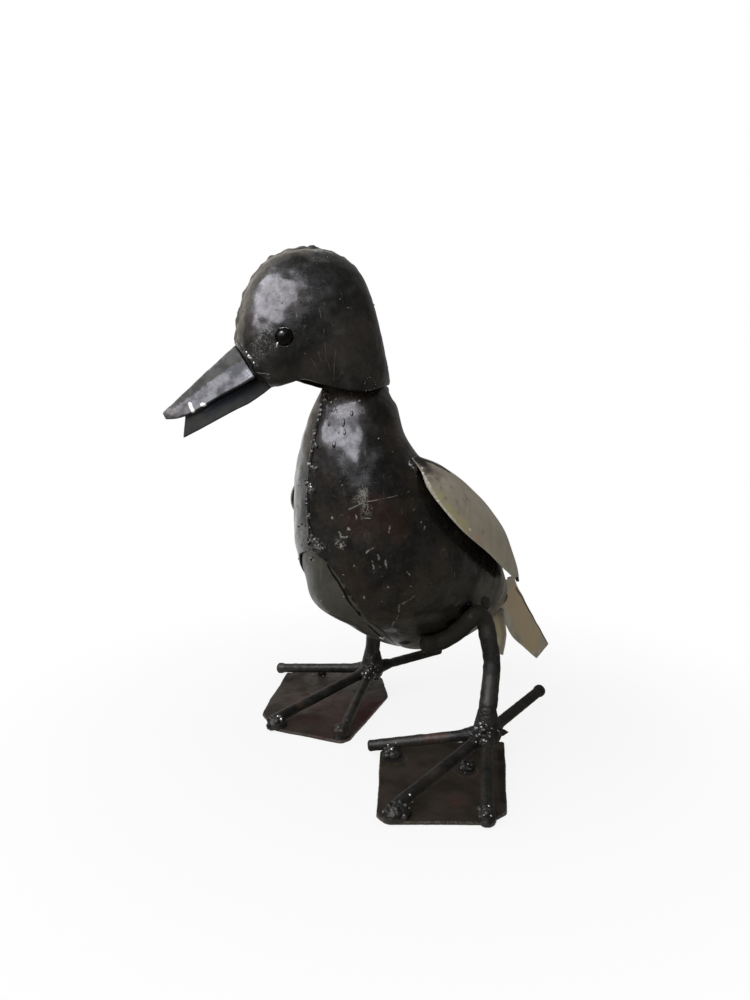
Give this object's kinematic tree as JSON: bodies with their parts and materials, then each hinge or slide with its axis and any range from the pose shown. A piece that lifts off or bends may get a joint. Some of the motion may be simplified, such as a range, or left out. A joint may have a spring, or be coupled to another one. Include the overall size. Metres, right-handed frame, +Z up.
{
  "type": "metal duck sculpture",
  "caption": "Standing duck ornament welded from pressed sheet halves, with cream wings and tail, round-bar legs and toes on flat foot plates.",
  "frame": {"origin": "on the ground under the middle of the whole duck's bounding box", "axes": "+Z up, -Y ahead, where the body faces, +X to the duck's own left"},
  "size_m": [0.2954, 0.3378, 0.3529],
  "materials": {
    "dark_steel": "dark, glossy clear-lacquered steel with heat stains and scratches",
    "cream_paint": "worn cream paint with brown stains",
    "rusty_plate": "reddish-brown mill scale under lacquer",
    "bare_weld": "lumpy bare weld metal, dark with bright flecks",
    "eye_ball": "glossy black"
  },
  "bodies": {
    "root": {"head_left_half": "dark_steel", "head_right_half": "dark_steel", "crown_weld": "bare_weld", "eye_left": "eye_ball", "eye_right": "eye_ball", "upper_bill": "dark_steel", "lower_bill": "dark_steel", "bill_weld": "bare_weld", "neck_weld": "bare_weld", "body_left_half": "dark_steel", "body_right_half": "dark_steel", "breast_weld": "bare_weld", "back_weld": "bare_weld", "belly_gusset": "dark_steel", "gusset_weld": "bare_weld", "wing_left": "cream_paint", "wing_right": "cream_paint", "wing_weld_left": "bare_weld", "wing_weld_right": "bare_weld", "tail_plate": "cream_paint", "tail_under_plate": "cream_paint", "tail_weld": "bare_weld", "leg_left": "dark_steel", "leg_right": "dark_steel", "hip_weld_left": "bare_weld", "hip_weld_right": "bare_weld", "ankle_weld_left": "bare_weld", "ankle_weld_right": "bare_weld", "toe_left_inner": "dark_steel", "toe_left_middle": "dark_steel", "toe_left_outer": "dark_steel", "toe_left_rear": "dark_steel", "toe_right_inner": "dark_steel", "toe_right_middle": "dark_steel", "toe_right_outer": "dark_steel", "toe_right_rear": "dark_steel", "toe_welds_left": "bare_weld", "toe_welds_right": "bare_weld", "foot_plate_left": "rusty_plate", "foot_plate_right": "rusty_plate"}
  },
  "joints": []
}
